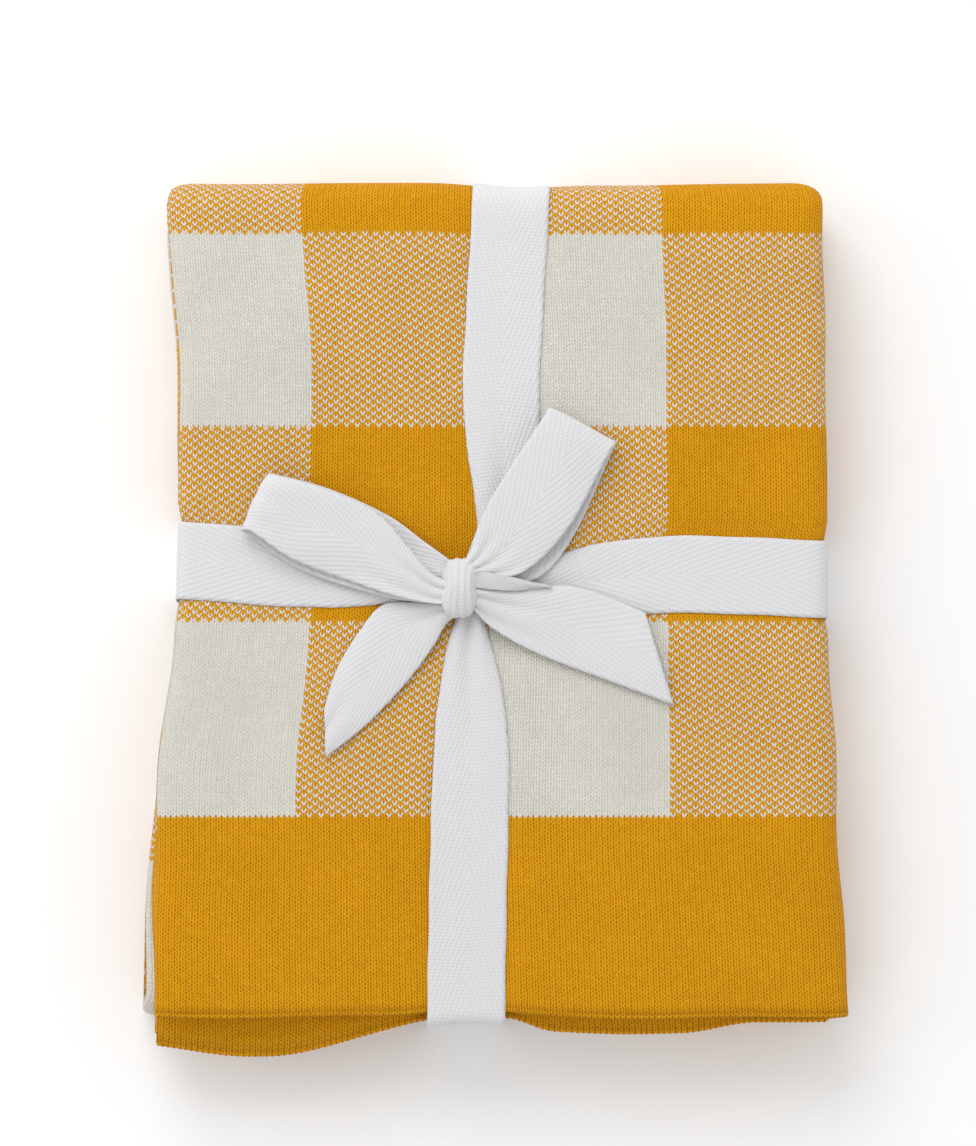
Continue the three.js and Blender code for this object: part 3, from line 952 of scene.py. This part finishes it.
# the bow: each ribbon is drawn between two edge lines, (x, y, z) from the knot outwards
bow = {
    "leftLoop": {
        "body": "left_loop",
        "node": "left_loop",
        "azimuth": 157,
        "bend": (4.5, 17.0),
        "pleats": 2.5,
        "depth": 1.1,
        "edgeA": [
            (-13, 10.4, 37.2), (-17.5, 12.5, 36.6), (-24.3, 20.0, 36.6), (-33, 29.6, 37.0),
            (-47.7, 36.5, 37.4), (-62.3, 40.8, 36.9), (-64.3, 41.4, 35.2), (-62.6, 41.2, 33.5),
            (-47.7, 37.3, 33.0), (-29.5, 29.0, 33.0), (-20, 22, 33.4), (-11, 15.4, 34.8),
        ],
        "edgeB": [
            (-13, 4.2, 36.4), (-18, 4.4, 36.0), (-28.4, 6.6, 35.7), (-41.2, 10.8, 35.3),
            (-57.5, 17.0, 36.0), (-70.0, 25.2, 35.9), (-71.8, 25.0, 34.3), (-70.2, 24.2, 32.9),
            (-57.5, 15.2, 32.9), (-40, 8.8, 33.7), (-26, 5.4, 34.6), (-12.5, 4.4, 35.2),
        ],
    },
    "upperLoop": {
        "body": "upper_loop",
        "node": "upper_loop",
        "azimuth": 52,
        "bend": (5.0, 19.0),
        "pleats": 3.5,
        "depth": 1.2,
        "edgeA": [
            (-9.5, 15.0, 37.4), (-7.0, 19.0, 37.0), (-5.4, 24.0, 36.9), (-2.6, 31.4, 37.0),
            (3.4, 41.5, 37.3), (13.6, 57.0, 36.8), (15.2, 59.8, 35.0), (13.8, 57.6, 33.3),
            (3.6, 42.0, 33.0), (-3.0, 31.0, 33.0), (-6.4, 22.0, 33.4), (-9, 14.5, 34.6),
        ],
        "edgeB": [
            (-5.5, 12.5, 37.0), (0.5, 12.0, 36.2), (6.0, 12.4, 35.9), (12.5, 16.5, 35.8),
            (21.2, 26.4, 36.0), (32.6, 47.5, 35.8), (34.4, 50.0, 34.4), (33.0, 47.0, 32.9),
            (22.8, 24.6, 32.6), (14.5, 13.4, 32.8), (6.0, 9.4, 33.2), (-5.5, 9.6, 34.2),
        ],
    },
    "leftTail": {
        "body": "left_tail",
        "node": "left_tail",
        "azimuth": 228,
        "bend": (5.0, 19.0),
        "pleats": 2.0,
        "depth": 1.1,
        "edgeA": [
            (-13.5, 4.6, 34.2), (-23, 4.9, 32.7), (-32.0, 4.0, 32.5), (-38.8, -4.0, 32.8),
            (-45.0, -14.5, 32.8), (-48.3, -25.2, 33.2),
        ],
        "edgeB": [
            (-10.8, 1.0, 34.4), (-13.8, -1.2, 33.3), (-17.3, -7.3, 33.1), (-24.1, -16.7, 32.9),
            (-36.9, -30.3, 32.9), (-48.0, -39.1, 33.6),
        ],
    },
    "rightTail": {
        "body": "right_tail",
        "node": "right_tail",
        "azimuth": 341,
        "bend": (4.5, 17.0),
        "pleats": 2.5,
        "depth": 1.3,
        "edgeA": [
            (-6.0, 9.0, 36.0), (4, 8.6, 34.6), (15.1, 9.4, 33.8), (24, 9.0, 33.3), (34, 5.6, 33.0),
            (42.6, 1.8, 33.3),
        ],
        "edgeB": [
            (-6.2, 2.6, 35.6), (-2.0, -1.6, 34.2), (6.5, -7.0, 33.4), (15, -11.0, 33.0),
            (31, -17.0, 32.9), (50.6, -24.3, 33.6),
        ],
    },
}


bow["rightTailFold"] = {
    "body": "right_tail",
    "node": None,
    "azimuth": 341,
    "bend": (4.5, 17.0),
    "pleats": 1.0,
    "depth": 0.3,
    "edgeA": [
        (-6.2, 13.2, 37.4), (-1, 13.0, 37.1), (5, 11.8, 36.0), (10.5, 10.4, 35.0),
        (15.8, 9.5, 34.3),
    ],
    "edgeB": [
        (-6.2, 8.8, 37.0), (-1, 8.3, 36.6), (5, 8.0, 35.6), (10.5, 8.5, 34.8), (15.6, 9.2, 34.2),
    ],
}


def throughPoints(stations, count):
    # a smooth line through the stations
    p = np.array(stations, float)
    steps = np.linalg.norm(np.diff(p, axis=0), axis=1) ** 0.5
    knots = np.concatenate([[0], np.cumsum(steps)])
    padded = np.concatenate([[2 * p[0] - p[1]], p, [2 * p[-1] - p[-2]]])
    k = np.concatenate([[knots[0] - steps[0]], knots, [knots[-1] + steps[-1]]])
    out = []
    for s in np.linspace(knots[0], knots[-1], count):
        i = min(max(int(np.searchsorted(knots, s, side="right")) - 1, 0), len(p) - 2)
        p0, p1, p2, p3 = padded[i:i + 4]
        k0, k1, k2, k3 = k[i:i + 4]
        a1 = (k1 - s) / (k1 - k0) * p0 + (s - k0) / (k1 - k0) * p1
        a2 = (k2 - s) / (k2 - k1) * p1 + (s - k1) / (k2 - k1) * p2
        a3 = (k3 - s) / (k3 - k2) * p2 + (s - k2) / (k3 - k2) * p3
        b1 = (k2 - s) / (k2 - k0) * a1 + (s - k0) / (k2 - k0) * a2
        b2 = (k3 - s) / (k3 - k1) * a2 + (s - k1) / (k3 - k1) * a3
        out.append((k2 - s) / (k2 - k1) * b1 + (s - k1) / (k2 - k1) * b2)
    return np.array(out)


bowCloth = {"loopRows": 96, "tailRows": 56, "columns": 25, "wave": 0.28, "crown": 0.45, "rootHeight": 36.0,
    "firstSeed": 20}


def bowRibbon(name, shape, seed):
    loop = len(shape["edgeA"]) > 8
    rows = bowCloth["loopRows"] if loop else bowCloth["tailRows"]
    columns = bowCloth["columns"]
    a = throughPoints(shape["edgeA"], rows)
    b = throughPoints(shape["edgeB"], rows)
    t = np.linspace(0, 1, columns)
    grid = a[:, None, :] * (1 - t)[None, :, None] + b[:, None, :] * t[None, :, None]
    width = np.linalg.norm(a - b, axis=1)
    middle = (a + b) / 2
    length = np.concatenate([[0], np.cumsum(np.linalg.norm(np.diff(middle, axis=0), axis=1))])
    normal = gridNormals(grid)
    normal *= np.sign((normal[:, :, 2:3]).mean() + 1e-9)
    fold = pleats(t[None, :], width[:, None], shape["pleats"], shape["depth"])
    alongPlaces = length[:, None] + 0 * t[None, :]
    acrossPlaces = (t * tape["width"])[None, :] + 0 * length[:, None]
    wave = bowCloth["wave"] * ripple(alongPlaces, acrossPlaces, seed, 26)
    crown = bowCloth["crown"] * (1 - (2 * t - 1) ** 2)[None, :] * smooth(length, 4, 18)[:, None]
    grid = grid + normal * (fold + crown + wave * smooth(length, 2, 16)[:, None])[:, :, None]
    across = np.repeat(((t - 0.5) * tape["width"])[None, :], rows, axis=0)
    lengths = np.repeat(length[:, None], columns, axis=1)
    nodes = filter(None, [shape["node"]])
    obj = ribbonMesh(name, grid, across, lengths, "twill_tape", None, *nodes)
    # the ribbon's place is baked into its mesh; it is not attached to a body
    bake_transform(obj)
    return obj


for k, (name, shape) in enumerate(bow.items()):
    bowRibbon(name, shape, bowCloth["firstSeed"] + k)

knot = {
    "place": (-9.9, 8.7, 35.6),
    "width": 11.2,
    "length": 17.2,
    "height": 9.4,
    "ridges": 5.0,
    "ridgeDepth": 0.34,
    "around": 56,
    "columns": 33,
}


def makeKnot():
    # the tape wraps over the knot from front to back, its width drawn into ridges
    around, columns = knot["around"], knot["columns"]
    turn = np.linspace(0, math.tau, around, endpoint=False)
    t = np.linspace(-1, 1, columns)
    ridge = 0.5 - 0.5 * np.cos((t + 1) * math.pi * knot["ridges"] + 0.7 * np.sin(t * 3))
    points = []
    for i, s in enumerate(turn):
        side = np.sign(t) * np.abs(t) ** 0.9
        narrow = 1 - 0.16 * math.sin(s) ** 2 + 0.05 * math.sin(3 * s + 1)
        x = side * knot["width"] / 2 * narrow
        shoulder = np.clip(1 - np.abs(t) ** 3.2, 0.02, 1) ** 0.5
        reach = shoulder * (1 + 0.02 * math.sin(5 * s))
        y = math.cos(s) * (knot["length"] / 2 * reach - knot["ridgeDepth"] * ridge)
        z = math.sin(s) * (knot["height"] / 2 * reach - knot["ridgeDepth"] * ridge)
        points.append(np.stack([x + 0.35 * math.cos(s), y + 0 * x, z], axis=1) + np.array(knot["place"]))
    grid = np.array(points).reshape(-1, 3)
    faces = []
    for i in range(around):
        n = (i + 1) % around
        for j in range(columns - 1):
            faces.append((i * columns + j, i * columns + j + 1, n * columns + j + 1, n * columns + j))
    faces.append(tuple(i * columns for i in range(around)))
    faces.append(tuple(i * columns + columns - 1 for i in range(around - 1, -1, -1)))
    across = np.tile(t * 11, around)
    along = np.repeat(turn * 7.0, columns)
    obj = makeMesh("tapeKnot", grid, faces, twillTape, np.stack([across, along], axis=1))
    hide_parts("knot")
    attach(obj, "tied_throw")
    return obj


makeKnot()
print("bow ready")
